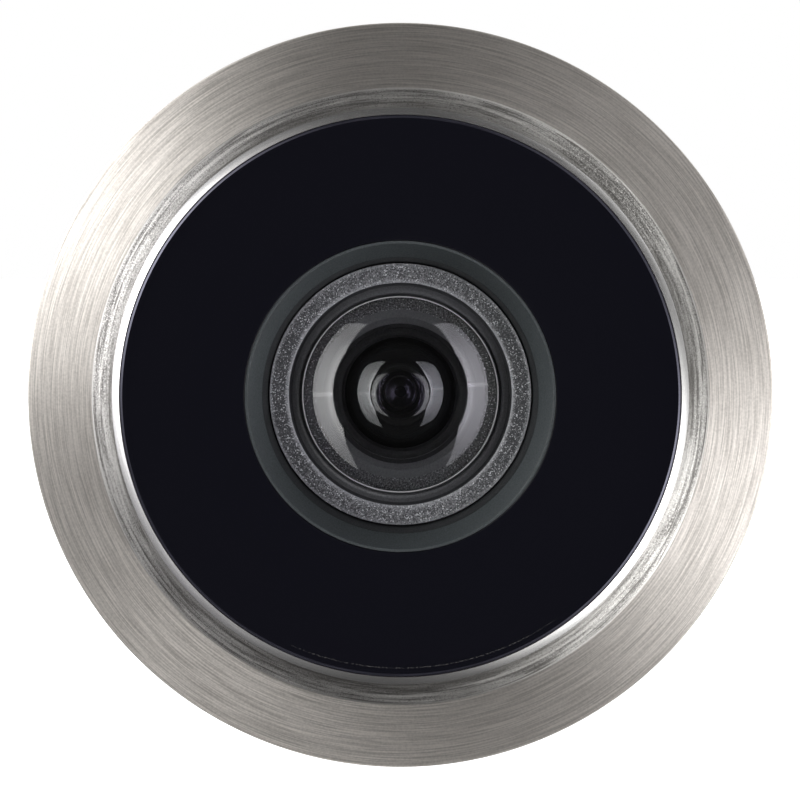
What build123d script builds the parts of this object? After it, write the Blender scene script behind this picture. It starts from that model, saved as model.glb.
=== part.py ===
from build123d import *
import math
import os

# Door viewer (peephole), in millimetres. The optical axis is Y: the outer head faces -Y, the
# room side is +Y, and +Z is up. The origin is on the axis, in the outer face of the door.

# Door
door_thickness = 44.0            # at rest
door_hole_radius = 8.0
thinnest_door = 35.0
thickest_door = 55.0

# Fits, as radial or axial clearances
hole_fit = 0.1                   # barrel in the door's hole
assembly_fit = 0.03              # turned piece pushed into its bore
running_fit = 0.05               # pivot in its hole
thread_fit = 0.09                # inner barrel's thread in the outer barrel's
turning_clearance = 0.05         # flat faces that turn on each other

# Bezel of the outer head
bezel_radius = 18.0
bezel_edge_height = 1.8
bezel_height = 2.9               # ridge above the door
bezel_flange_width = 3.15        # brushed flange, from the edge in to the ridge
bezel_slope_width = 0.95         # inner slope, from the ridge in to its foot
bezel_slope_depth = 0.45
bezel_seat_width = 2.55          # from the edge in to the barrel's flange
bezel_lip_width = 0.3            # small polished chamfer at the window's edge
bezel_edge_fillet = 0.2
bezel_ridge_fillet = 0.15

# Black fascia disc
fascia_gap = 0.05                # fine dark line round the disc
fascia_thickness = 0.9
fascia_edge_fillet = 0.25
adhesive_thickness = 0.1
adhesive_inner_radius = 8.3
adhesive_edge_margin = 0.25

# Outer barrel
barrel_end_gap = 1.0             # barrel's end to the inner face of the thinnest door
barrel_flange_thickness = 0.8
barrel_front_bore = 7.2
barrel_relief_bore = 7.36
barrel_shoulder_bore = 6.7
barrel_shoulder_width = 0.5
barrel_end_chamfer = 0.3

# Gasket between head and door
door_gasket_thickness = 0.5
door_gasket_inner_radius = 8.8
door_gasket_edge_margin = 0.05

# Screw thread between the barrels; the outer thread is drawn as rings, the nut as a plain bore
thread_radius = 7.05             # of the inner barrel
thread_depth = 0.45
thread_pitch = 1.0
thread_crest = 0.18              # flat on top of a ring
thread_root = 0.28               # flat between two rings
nut_thread_length = 8.0
least_thread_overlap = 6.0       # in the thickest door

# Mouth ring in front of the lens
mouth_radius = 7.375
mouth_throat_radius = 6.7
mouth_cone_depth = 1.65
mouth_end_radius = 6.47
mouth_head_wall = 0.125

# Lens hood (lens cell) with its textured front ring
texture_ring_depth = 3.4         # from the fascia's face
texture_ring_outer_radius = 6.42
texture_ring_height = 0.25
hood_groove_depth = 0.25
hood_groove_floor_width = 0.3
hood_groove_outer_slope = 0.14   # width of the slope up to the textured ring
hood_groove_inner_slope = 0.2    # width of the slope up to the lens rim
lens_rim_width = 0.1
lens_rim_proud = 0.3             # in front of the textured ring
lens_seat_depth = 0.55           # behind the textured ring

# Lens stack: surface radii, clear radii, thicknesses on the axis
lens_radius = 5.6
lens_seat_width = 0.85           # hood's seat that holds the front lens in
lens_dome_proud = 0.9            # front vertex in front of the textured ring
front_lens_front_curve = 12.0
front_lens_back_curve = 4.5
front_lens_back_clear = 3.05
front_lens_thickness = 1.0
front_air_gap = 1.6
middle_lens_front_curve = 12.0
middle_lens_front_clear = 2.9
middle_lens_back_curve = 2.5
middle_lens_back_clear = 1.9
middle_lens_thickness = 0.8
rear_air_gap = 1.2
rear_lens_front_curve = 6.0
rear_lens_back_curve = 3.5
rear_lens_clear = 1.6
rear_lens_thickness = 0.7
seal_thickness = 0.1
spacer_land_radius = 3.56        # textured land seen through the front lens
spacer_bevel_depth = 0.4
spacer_bore_margin = 0.1         # spacer bores stand outside the clear radii
rear_stop_thickness = 0.15
rear_stop_radius = 1.7
retaining_ring_thickness = 0.55
retaining_ring_bore = 3.2
retaining_slot_width = 1.0
retaining_slot_depth = 0.25

# Inner barrel: screwed tube with a slotted head
inner_barrel_bore = 5.5
inner_neck_radius = 6.5
inner_head_radius = 10.0
inner_head_thickness = 1.8
inner_head_fillet = 0.3
coin_slot_width = 1.6
coin_slot_depth = 0.9
coin_slot_inner_radius = 7.4

# Eyepiece
eyepiece_pocket_radius = 6.0
eyepiece_seat_below_head = 1.45
eyepiece_curve = 45.0
eyepiece_edge_thickness = 1.4
eyepiece_ring_thickness = 1.2
eyepiece_ring_bore = 5.3
eyepiece_ring_lip_place = 0.9    # narrowest place, behind the lens

# Inner rosette with its gasket and washer
rosette_thickness = 1.6
rosette_edge_fillet = 0.6
rosette_hole_radius = 7.35
rosette_gasket_thickness = 0.4
rosette_gasket_margin = 0.9      # inside the rosette's edge
rosette_gasket_hole_radius = 7.6
washer_thickness = 0.3
washer_width = 2.25

# Privacy cover and its pivot
cover_radius = 7.8
cover_thickness = 1.2
cover_edge_fillet = 0.35
cover_arm_width = 4.6
cover_arm_fillet = 1.6
cover_tab_radius = 2.2
cover_tab_drop = 8.4             # centre of the finger tab below the axis
cover_pad_radius = 6.5
cover_pad_thickness = 0.4
cover_pad_gap = 0.2              # pad above the head's face
pivot_radius = 1.0
pivot_boss_radius = 1.9
pivot_boss_gap = 1.1             # boss to the barrel's head
pivot_head_radius = 1.9
pivot_head_height = 0.8
pivot_shank_depth = 2.6          # shank inside the boss
cover_washer_thickness = 0.2
stop_pin_radius = 0.6
stop_pin_distance = 3.2          # stop pin above the pivot
stop_pin_root = 1.0              # stop pin's length inside the plate
stop_pin_proud = 0.5             # stop pin's end beyond the cover's face
stop_pin_edge_margin = 0.7       # stop pin to the rosette's edge

# Radii that follow from the sizes above
lens_rim_radius = lens_radius - lens_seat_width
lens_front_neck_radius = lens_rim_radius - assembly_fit
hood_groove_floor_inner = lens_rim_radius + lens_rim_width + hood_groove_inner_slope
hood_groove_floor_outer = hood_groove_floor_inner + hood_groove_floor_width
texture_ring_inner_radius = hood_groove_floor_outer + hood_groove_outer_slope
bezel_ridge_radius = bezel_radius - bezel_flange_width
bezel_slope_foot_radius = bezel_ridge_radius - bezel_slope_width
barrel_flange_radius = bezel_radius - bezel_seat_width
pivot_height = inner_head_radius + pivot_boss_gap + pivot_boss_radius
stop_pin_height = pivot_height + stop_pin_distance
rosette_radius = stop_pin_height + stop_pin_radius + stop_pin_edge_margin
rosette_gasket_radius = rosette_radius - rosette_gasket_margin

# Places along Y that follow from the sizes above
flange_back = -door_gasket_thickness
flange_front = flange_back - barrel_flange_thickness
fascia_back = flange_front - adhesive_thickness
fascia_front = fascia_back - fascia_thickness
bezel_inner_radius = bezel_slope_foot_radius - bezel_lip_width
bezel_slope_foot = -(bezel_height - bezel_slope_depth)
bezel_lip_foot = bezel_slope_foot + bezel_lip_width
fascia_radius = bezel_inner_radius - fascia_gap
mouth_head_radius = mouth_radius + mouth_head_wall
texture_plane = fascia_front + texture_ring_depth
hood_seat = texture_plane + texture_ring_height
lens_seat = texture_plane + lens_seat_depth
hood_radius = barrel_front_bore - assembly_fit
hood_bore = lens_radius + assembly_fit

barrel_radius = door_hole_radius - hole_fit
barrel_length = thinnest_door - barrel_end_gap
deepest_tip = barrel_length - least_thread_overlap - (thickest_door - thinnest_door)
tip_start = deepest_tip + door_thickness - thinnest_door
inner_thread_length = barrel_length - deepest_tip
rosette_back = door_thickness + rosette_gasket_thickness
rosette_front = rosette_back + rosette_thickness
washer_front = rosette_front + washer_thickness
head_back = washer_front + turning_clearance
head_front = head_back + inner_head_thickness
eyepiece_seat = head_back - eyepiece_seat_below_head
pad_back = head_front + cover_pad_gap
cover_back = pad_back + cover_pad_thickness
cover_front = cover_back + cover_thickness
cover_washer_back = cover_back - turning_clearance - cover_washer_thickness
rivet_head_back = cover_front + turning_clearance


def turned(*outline):
    """Solid turned about the Y axis from an outline of (radius, y) points."""
    return revolve(make_face(Polyline(*outline, close=True)), Axis.Y)


def ring(inner, outer, back, front):
    """Flat ring from y = back to y = front."""
    return turned((inner, back), (outer, back), (outer, front), (inner, front))


def sag(curve, reach):
    """Depth of a spherical face of radius curve at the distance reach from the axis."""
    return curve - math.sqrt(curve**2 - reach**2)


def lens_face(vertex, curve, reach):
    """Arc of a lens face from the axis outwards; a positive curve bulges towards -Y."""
    bend = math.copysign(1, curve)
    middle = (reach / 2, vertex + bend * sag(abs(curve), reach / 2))
    rim = (reach, vertex + bend * sag(abs(curve), reach))
    return ThreePointArc((0, vertex), middle, rim)


def turned_lens(front_face, rim, back_face):
    """Lens between two faces; rim holds the (radius, y) points from the front face to the back one."""
    edge = Polyline(front_face @ 1, *rim, back_face @ 1)
    axis_line = Line(back_face @ 0, front_face @ 0)
    return revolve(make_face(front_face + edge + back_face + axis_line), Axis.Y)


def circles_at(solid, radius, height):
    """Circular edges of a turned solid with this radius, at y = height."""
    circles = solid.edges().filter_by(GeomType.CIRCLE)
    return circles.filter_by(
        lambda edge: abs(edge.radius - radius) < 1e-4 and abs(edge.arc_center.Y - height) < 1e-4
    )


def plate(outline, back, front):
    """Flat plate cut to an outline drawn in X and Z, from y = back to y = front."""
    return Pos(0, front, 0) * Rot(90, 0, 0) * extrude(outline, front - back)


def y_cylinder(radius, length):
    """Cylinder along Y, centred on the origin."""
    return Rot(90, 0, 0) * Cylinder(radius, length)


# Outer head

def make_bezel_ring():
    """Turned ring: sloping flange, ridge, inner slope and a polished lip round the fascia."""
    ring_solid = turned(
        (barrel_flange_radius + assembly_fit, 0),
        (bezel_radius, 0),
        (bezel_radius, -bezel_edge_height),
        (bezel_ridge_radius, -bezel_height),
        (bezel_slope_foot_radius, bezel_slope_foot),
        (bezel_inner_radius, bezel_lip_foot),
        (bezel_inner_radius, flange_front),
        (barrel_flange_radius + assembly_fit, flange_front),
    )
    edge = circles_at(ring_solid, bezel_radius, -bezel_edge_height)
    ring_solid = fillet(edge, bezel_edge_fillet)
    ridge = circles_at(ring_solid, bezel_ridge_radius, -bezel_height)
    return fillet(ridge, bezel_ridge_fillet)


def make_fascia_disc():
    """Gloss black disc with a rounded outer edge and the opening for the mouth ring."""
    disc = ring(mouth_head_radius + assembly_fit, fascia_radius, fascia_back, fascia_front)
    return fillet(circles_at(disc, fascia_radius, fascia_front), fascia_edge_fillet)


def make_fascia_adhesive():
    """Ring of double-sided tape that holds the fascia on the barrel's flange."""
    return ring(adhesive_inner_radius, fascia_radius - adhesive_edge_margin, flange_front, fascia_back)


def make_mouth_ring():
    """Sleeve with a shallow cone at its mouth; it clamps the lens hood into the barrel."""
    sleeve_radius = barrel_front_bore - assembly_fit
    throat = fascia_front + mouth_cone_depth
    return turned(
        (mouth_radius, fascia_front),
        (mouth_head_radius, fascia_front),
        (mouth_head_radius, flange_front),
        (sleeve_radius, flange_front),
        (sleeve_radius, hood_seat),
        (mouth_end_radius, hood_seat),
        (mouth_throat_radius, throat),
    )


def make_outer_barrel():
    """Flanged tube through the door, bored for the lens hood, with the nut thread at its far end."""
    hood_end = stack["hood_end"]
    thread_start = barrel_length - nut_thread_length
    relief_start = hood_end + barrel_shoulder_width
    nut_bore = thread_radius + thread_fit
    return turned(
        (barrel_front_bore, flange_front),
        (barrel_flange_radius, flange_front),
        (barrel_flange_radius, flange_back),
        (barrel_radius, flange_back),
        (barrel_radius, barrel_length - barrel_end_chamfer),
        (barrel_radius - barrel_end_chamfer, barrel_length),
        (nut_bore, barrel_length),
        (nut_bore, thread_start),
        (barrel_relief_bore, thread_start),
        (barrel_relief_bore, relief_start),
        (barrel_shoulder_bore, relief_start),
        (barrel_shoulder_bore, hood_end),
        (barrel_front_bore, hood_end),
    )


def make_door_gasket():
    """Soft ring under the flange that seals the head against the door."""
    return ring(door_gasket_inner_radius, barrel_flange_radius - door_gasket_edge_margin, 0, flange_back)


# Lenses and what holds them

def lens_stack():
    """Y places of the lens faces, their flats and the rings between them."""
    place = {}
    place["front_vertex"] = texture_plane - lens_dome_proud
    place["front_back_vertex"] = place["front_vertex"] + front_lens_thickness
    place["front_flat"] = place["front_back_vertex"] + sag(front_lens_back_curve, front_lens_back_clear)
    place["middle_vertex"] = place["front_back_vertex"] + front_air_gap
    place["middle_front_flat"] = place["middle_vertex"] + sag(middle_lens_front_curve, middle_lens_front_clear)
    place["middle_back_vertex"] = place["middle_vertex"] + middle_lens_thickness
    place["middle_flat"] = place["middle_back_vertex"] + sag(middle_lens_back_curve, middle_lens_back_clear)
    place["rear_vertex"] = place["middle_back_vertex"] + rear_air_gap
    place["rear_front_flat"] = place["rear_vertex"] + sag(rear_lens_front_curve, rear_lens_clear)
    place["rear_back_vertex"] = place["rear_vertex"] + rear_lens_thickness
    place["rear_flat"] = place["rear_back_vertex"] + sag(rear_lens_back_curve, rear_lens_clear)
    place["stop_back"] = place["rear_flat"] + rear_stop_thickness
    place["hood_end"] = place["stop_back"] + retaining_ring_thickness
    return place


stack = lens_stack()


def make_lens_hood():
    """Moulded cell: textured front ring, groove, lens rim, and one bore that takes every lens."""
    groove_floor = texture_plane + hood_groove_depth
    rim_front = texture_plane - lens_rim_proud
    return turned(
        (hood_radius, hood_seat),
        (hood_radius, stack["hood_end"]),
        (hood_bore, stack["hood_end"]),
        (hood_bore, lens_seat),
        (lens_rim_radius, lens_seat),
        (lens_rim_radius, rim_front),
        (lens_rim_radius + lens_rim_width, rim_front),
        (hood_groove_floor_inner, groove_floor),
        (hood_groove_floor_outer, groove_floor),
        (texture_ring_inner_radius, texture_plane),
        (texture_ring_outer_radius, texture_plane),
        (texture_ring_outer_radius, hood_seat),
    )


def make_lens_seal():
    """Thin washer that seals the front lens against the hood."""
    return ring(lens_rim_radius + assembly_fit, lens_radius, lens_seat, lens_seat + seal_thickness)


def make_front_lens():
    """Strong meniscus with a domed front, a stepped rim and a deep hollow at the back."""
    front_face = lens_face(stack["front_vertex"], front_lens_front_curve, lens_front_neck_radius)
    back_face = lens_face(stack["front_back_vertex"], front_lens_back_curve, front_lens_back_clear)
    shoulder = lens_seat + seal_thickness
    rim = [
        (lens_front_neck_radius, shoulder),
        (lens_radius, shoulder),
        (lens_radius, stack["front_flat"]),
    ]
    return turned_lens(front_face, rim, back_face)


def make_front_spacer():
    """Black ring between the front and middle lenses; its land shows through the front lens."""
    bore = middle_lens_front_clear + spacer_bore_margin
    bevel_foot = stack["front_flat"] + spacer_bevel_depth
    return turned(
        (spacer_land_radius, stack["front_flat"]),
        (lens_radius, stack["front_flat"]),
        (lens_radius, stack["middle_front_flat"]),
        (bore, stack["middle_front_flat"]),
        (bore, bevel_foot),
    )


def make_middle_lens():
    """Second meniscus, with a small deep hollow at the back."""
    front_face = lens_face(stack["middle_vertex"], middle_lens_front_curve, middle_lens_front_clear)
    back_face = lens_face(stack["middle_back_vertex"], middle_lens_back_curve, middle_lens_back_clear)
    rim = [(lens_radius, stack["middle_front_flat"]), (lens_radius, stack["middle_flat"])]
    return turned_lens(front_face, rim, back_face)


def make_middle_spacer():
    """Black ring between the middle and rear lenses."""
    bore = rear_lens_clear + spacer_bore_margin
    return ring(bore, lens_radius, stack["middle_flat"], stack["rear_front_flat"])


def make_rear_lens():
    """Small third meniscus that ends the front group."""
    front_face = lens_face(stack["rear_vertex"], rear_lens_front_curve, rear_lens_clear)
    back_face = lens_face(stack["rear_back_vertex"], rear_lens_back_curve, rear_lens_clear)
    rim = [(lens_radius, stack["rear_front_flat"]), (lens_radius, stack["rear_flat"])]
    return turned_lens(front_face, rim, back_face)


def make_rear_stop():
    """Thin black washer whose hole stops stray light."""
    return ring(rear_stop_radius, lens_radius, stack["rear_flat"], stack["stop_back"])


def make_lens_retaining_ring():
    """Ring that closes the hood from behind, with two notches for a pin spanner."""
    ring_solid = ring(retaining_ring_bore, lens_radius, stack["stop_back"], stack["hood_end"])
    notch = Box(2 * barrel_radius, 2 * retaining_slot_depth, retaining_slot_width)
    return ring_solid - Pos(0, stack["hood_end"], 0) * notch


# Room side

def make_rosette_gasket():
    """Thin soft washer between the rosette and the door."""
    return ring(rosette_gasket_hole_radius, rosette_gasket_radius, door_thickness, rosette_back)


def make_inner_rosette():
    """Round cover plate with the boss of the privacy cover's pivot and the seat of its stop pin."""
    disc = ring(rosette_hole_radius, rosette_radius, rosette_back, rosette_front)
    disc = fillet(circles_at(disc, rosette_radius, rosette_front), rosette_edge_fillet)
    boss_height = cover_washer_back - rosette_front
    boss = Pos(0, rosette_front + boss_height / 2, pivot_height) * y_cylinder(pivot_boss_radius, boss_height)
    shank_hole = y_cylinder(pivot_radius, 2 * pivot_shank_depth)
    pin_hole = y_cylinder(stop_pin_radius, 2 * stop_pin_root)
    disc = disc + boss
    disc = disc - Pos(0, cover_washer_back, pivot_height) * shank_hole
    return disc - Pos(0, rosette_front, stop_pin_height) * pin_hole


def make_cover_stop_pin():
    """Pin pressed into the rosette above the pivot; the cover's arm meets it on either side."""
    start = rosette_front - stop_pin_root
    end = cover_front + stop_pin_proud
    pin = y_cylinder(stop_pin_radius, end - start)
    return Pos(0, (start + end) / 2, stop_pin_height) * pin


def make_cover_pivot_rivet():
    """Shouldered rivet: shank in the boss, low round head over the cover."""
    shank_start = cover_washer_back - pivot_shank_depth
    crown_curve = (pivot_head_radius**2 + pivot_head_height**2) / (2 * pivot_head_height)
    crown = lens_face(rivet_head_back + pivot_head_height, -crown_curve, pivot_head_radius)
    body_line = Polyline(
        crown @ 1,
        (pivot_radius, rivet_head_back),
        (pivot_radius, shank_start),
        (0, shank_start),
        crown @ 0,
    )
    return Pos(0, 0, pivot_height) * revolve(make_face(crown + body_line), Axis.Y)


def make_cover_washer():
    """Small washer between the boss and the cover."""
    washer = y_cylinder(pivot_boss_radius, cover_washer_thickness) - y_cylinder(pivot_radius, door_thickness)
    return Pos(0, cover_washer_back + cover_washer_thickness / 2, pivot_height) * washer


def make_head_washer():
    """Slip washer on which the barrel's head turns against the rosette."""
    return ring(rosette_hole_radius, rosette_hole_radius + washer_width, rosette_front, washer_front)


def thread_rings(start, end):
    """Half section of the outer thread, as rings one pitch apart between y = start and y = end."""
    root_radius = thread_radius - thread_depth
    flank = (thread_pitch - thread_crest - thread_root) / 2
    count = int((end - start - thread_root) / thread_pitch)
    first = (start + end - count * thread_pitch + thread_root) / 2
    points = []
    for number in range(count):
        foot = first + number * thread_pitch
        top = foot + flank
        points.append((root_radius, foot))
        points.append((thread_radius, top))
        points.append((thread_radius, top + thread_crest))
        points.append((root_radius, top + thread_crest + flank))
    return [(root_radius, start), *points, (root_radius, end)]


def make_inner_barrel():
    """Screwed tube with a round head, two coin slots and a pocket for the eyepiece."""
    thread_end = tip_start + inner_thread_length
    tube = turned(
        (inner_barrel_bore, tip_start),
        *thread_rings(tip_start, thread_end),
        (inner_neck_radius, thread_end),
        (inner_neck_radius, head_back),
        (inner_head_radius, head_back),
        (inner_head_radius, head_front),
        (eyepiece_pocket_radius, head_front),
        (eyepiece_pocket_radius, eyepiece_seat),
        (inner_barrel_bore, eyepiece_seat),
    )
    tube = fillet(circles_at(tube, inner_head_radius, head_front), inner_head_fillet)
    slot_length = inner_head_radius - coin_slot_inner_radius
    slot = Box(2 * slot_length, 2 * coin_slot_depth, coin_slot_width)
    for side in (-1, 1):
        tube = tube - Pos(side * inner_head_radius, head_front, 0) * slot
    return tube


def make_eyepiece_lens():
    """Weak double-convex lens next to the eye."""
    radius = eyepiece_pocket_radius - assembly_fit
    front_edge = eyepiece_seat
    back_edge = front_edge + eyepiece_edge_thickness
    bulge = sag(eyepiece_curve, inner_barrel_bore)
    front_face = lens_face(front_edge - bulge, eyepiece_curve, inner_barrel_bore)
    back_face = lens_face(back_edge + bulge, -eyepiece_curve, inner_barrel_bore)
    return turned_lens(front_face, [(radius, front_edge), (radius, back_edge)], back_face)


def make_eyepiece_ring():
    """Black ring pressed in behind the eyepiece, with a funnel towards the eye."""
    outer = eyepiece_pocket_radius - assembly_fit
    back = eyepiece_seat + eyepiece_edge_thickness
    front = back + eyepiece_ring_thickness
    clear = inner_barrel_bore + assembly_fit
    return turned(
        (clear, back),
        (outer, back),
        (outer, front),
        (clear, front),
        (eyepiece_ring_bore, back + eyepiece_ring_lip_place),
    )


def make_privacy_cover():
    """Swinging lid: disc over the eyepiece, arm up to the pivot, finger tab below."""
    arm = Pos(0, pivot_height / 2) * Rectangle(cover_arm_width, pivot_height)
    outline = Circle(cover_radius) + arm + Pos(0, pivot_height) * Circle(cover_arm_width / 2)
    waist = outline.vertices().filter_by(
        lambda corner: 0 < corner.Y < pivot_height - cover_arm_width / 2
    )
    outline = fillet(waist, cover_arm_fillet)
    outline = outline + Pos(0, -cover_tab_drop) * Circle(cover_tab_radius)
    outline = outline - Pos(0, pivot_height) * Circle(pivot_radius + running_fit)
    cover = plate(outline, cover_back, cover_front)
    rims = cover.faces().sort_by(Axis.Y)[-1].outer_wire().edges()
    return fillet(rims, cover_edge_fillet)


def make_cover_pad():
    """Felt disc glued inside the cover, so that it closes softly and keeps the light out."""
    return Pos(0, (pad_back + cover_back) / 2, 0) * y_cylinder(cover_pad_radius, cover_pad_thickness)


nodes = {
    "bezel_ring": make_bezel_ring(),
    "fascia_disc": make_fascia_disc(),
    "fascia_adhesive": make_fascia_adhesive(),
    "mouth_ring": make_mouth_ring(),
    "outer_barrel": make_outer_barrel(),
    "door_gasket": make_door_gasket(),
    "lens_hood": make_lens_hood(),
    "lens_seal": make_lens_seal(),
    "front_lens": make_front_lens(),
    "front_spacer": make_front_spacer(),
    "middle_lens": make_middle_lens(),
    "middle_spacer": make_middle_spacer(),
    "rear_lens": make_rear_lens(),
    "rear_stop": make_rear_stop(),
    "lens_retaining_ring": make_lens_retaining_ring(),
    "rosette_gasket": make_rosette_gasket(),
    "inner_rosette": make_inner_rosette(),
    "cover_stop_pin": make_cover_stop_pin(),
    "cover_pivot_rivet": make_cover_pivot_rivet(),
    "cover_washer": make_cover_washer(),
    "head_washer": make_head_washer(),
    "inner_barrel": make_inner_barrel(),
    "eyepiece_lens": make_eyepiece_lens(),
    "eyepiece_ring": make_eyepiece_ring(),
    "privacy_cover": make_privacy_cover(),
    "cover_pad": make_cover_pad(),
}

os.makedirs("parts", exist_ok=True)
for name, solid in nodes.items():
    export_step(solid, f"parts/{name}.step")

arm_contact = (cover_arm_width / 2 + stop_pin_radius) / stop_pin_distance
print("cover meets its stop at, degrees:", 180 - math.degrees(math.asin(arm_contact)))
print("inner barrel tip:", tip_start, "in the thinnest door:", deepest_tip)
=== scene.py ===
import math

import bmesh
import bpy
from mathutils import Matrix


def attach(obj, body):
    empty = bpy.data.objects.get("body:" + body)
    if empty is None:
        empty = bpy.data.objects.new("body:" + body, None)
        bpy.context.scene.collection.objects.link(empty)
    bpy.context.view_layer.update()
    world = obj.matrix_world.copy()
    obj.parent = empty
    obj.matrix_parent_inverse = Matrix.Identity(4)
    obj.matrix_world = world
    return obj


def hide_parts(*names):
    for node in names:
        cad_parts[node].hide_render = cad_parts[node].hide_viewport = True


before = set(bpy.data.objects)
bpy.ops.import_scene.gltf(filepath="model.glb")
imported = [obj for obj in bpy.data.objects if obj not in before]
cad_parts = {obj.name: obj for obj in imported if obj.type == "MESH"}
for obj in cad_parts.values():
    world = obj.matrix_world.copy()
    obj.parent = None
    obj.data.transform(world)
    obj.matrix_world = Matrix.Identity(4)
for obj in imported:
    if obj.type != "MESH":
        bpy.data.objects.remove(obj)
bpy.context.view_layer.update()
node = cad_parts


# Bezel ring: the satin nickel ring that lies on the door. It is turned from brass bar and plated,
# and its sloping flange is brushed while it spins, so that the marks run round it. The inner slope
# is left as it was turned, its ridge is polished and painted lighter as a highlight, and a polished lip goes
# round the black disc.

def add(tree, kind, sockets=None, **settings):
    """New shader node; a socket given another node's output is linked to it."""
    made = tree.nodes.new("ShaderNode" + kind)
    for key, value in settings.items():
        setattr(made, key, value)
    for key, value in (sockets or {}).items():
        if isinstance(value, bpy.types.NodeSocket):
            tree.links.new(value, made.inputs[key])
        else:
            made.inputs[key].default_value = value
    return made


def start_finish(name, **sockets):
    """New material whose Principled shader has these plain values."""
    made = bpy.data.materials.new(name)
    made.use_nodes = True
    shader = made.node_tree.nodes["Principled BSDF"]
    for key, value in sockets.items():
        shader.inputs[key.replace("_", " ")].default_value = value
    return made, made.node_tree, shader


def link(tree, output, shader, socket):
    tree.links.new(output, shader.inputs[socket])


def blend_colours(tree, share, first, second):
    """Colour that goes from first to second as share goes from 0 to 1."""
    ends = [end if isinstance(end, bpy.types.NodeSocket) else (*end, 1) for end in (first, second)]
    return add(tree, "Mix", {0: share, 6: ends[0], 7: ends[1]}, data_type="RGBA").outputs[2]


def paint(tree, shader, share, first, second):
    link(tree, blend_colours(tree, share, first, second), shader, "Base Color")


def raise_surface(tree, shader, height, depth):
    """Relief of this depth in mm."""
    relief = add(tree, "Bump", {"Strength": 1.0, "Distance": depth / 1000, "Height": height})
    link(tree, relief.outputs[0], shader, "Normal")


def maths(tree, operation, *values):
    return add(tree, "Math", dict(enumerate(values)), operation=operation).outputs[0]


def vector(tree, operation, *values, result="Vector"):
    return add(tree, "VectorMath", dict(enumerate(values)), operation=operation).outputs[result]


def spread(tree, value, low, high, out_low, out_high):
    """Value brought from the range low..high to out_low..out_high, held at both ends."""
    return add(tree, "MapRange", {0: value, 1: low, 2: high, 3: out_low, 4: out_high}).outputs[0]


def noise(tree, place, scale, detail=2.0, roughness=0.5, distortion=0.0):
    """Random values with this many cells to the metre."""
    sockets = {"Vector": place, "Scale": scale, "Detail": detail, "Roughness": roughness}
    return add(tree, "TexNoise", {**sockets, "Distortion": distortion}).outputs["Fac"]


def place_on_piece(tree):
    return add(tree, "TexCoord").outputs["Object"]


def round_the_axis(tree, height=0.0):
    """Place, distance from the axis (height mm above the optical one) and direction outwards from it."""
    place = place_on_piece(tree)
    if height:
        place = vector(tree, "ADD", place, (0, 0, -height / 1000))
    flat = vector(tree, "MULTIPLY", place, (1, 0, 1))
    radius = vector(tree, "LENGTH", flat, result="Value")
    return place, radius, vector(tree, "NORMALIZE", flat)


def lathe_marks(tree, pitch, reach, detail=2.0, height=0.0):
    """Noise drawn out round the axis: marks pitch mm apart, and longer as reach falls."""
    place, radius, outwards = round_the_axis(tree, height)
    along = add(tree, "SeparateXYZ", {0: place}).outputs["Y"]
    across = maths(tree, "MULTIPLY", maths(tree, "ADD", radius, along), 1000 / pitch)
    place_round = vector(tree, "MULTIPLY", outwards, (reach, 0, reach))
    place_across = add(tree, "CombineXYZ", {"Y": across}).outputs[0]
    return noise(tree, vector(tree, "ADD", place_round, place_across), 1.0, detail, 0.6)


def as_the_piece_turns(tree, direction):
    """Direction on the piece brought into the world, for the shader's tangent."""
    turned = add(
        tree, "VectorTransform", {0: direction},
        vector_type="VECTOR", convert_from="OBJECT", convert_to="WORLD",
    )
    return turned.outputs[0]


def follow_marks(tree, shader, height=0.0):
    """Stretches the gloss across the lathe marks."""
    outwards = round_the_axis(tree, height)[2]
    along_marks = vector(tree, "CROSS_PRODUCT", (0, 1, 0), outwards)
    link(tree, as_the_piece_turns(tree, along_marks), shader, "Tangent")


def brushed_metal(name, dark, light, roughness, pitch, depth, stretch, height=0.0):
    """Metal brushed or turned round an axis: long marks, pitch mm apart, in colour, gloss and surface."""
    made, tree, shader = start_finish(name, Metallic=1.0, Anisotropic=stretch, Anisotropic_Rotation=0.25)
    fine = lathe_marks(tree, pitch, 5.0, height=height)
    broad = lathe_marks(tree, pitch * 4, 3.0, height=height)
    specks = noise(tree, place_on_piece(tree), 9000.0, 1.0)
    marks = maths(tree, "ADD", maths(tree, "MULTIPLY", fine, 0.72), maths(tree, "MULTIPLY", broad, 0.08))
    marks = maths(tree, "ADD", marks, maths(tree, "MULTIPLY", specks, 0.20))
    paint(tree, shader, spread(tree, marks, 0.36, 0.64, 0, 1), dark, light)
    link(tree, spread(tree, marks, 0.36, 0.64, roughness + 0.05, roughness - 0.05), shader, "Roughness")
    raise_surface(tree, shader, marks, depth)
    follow_marks(tree, shader, height)
    return made


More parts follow.
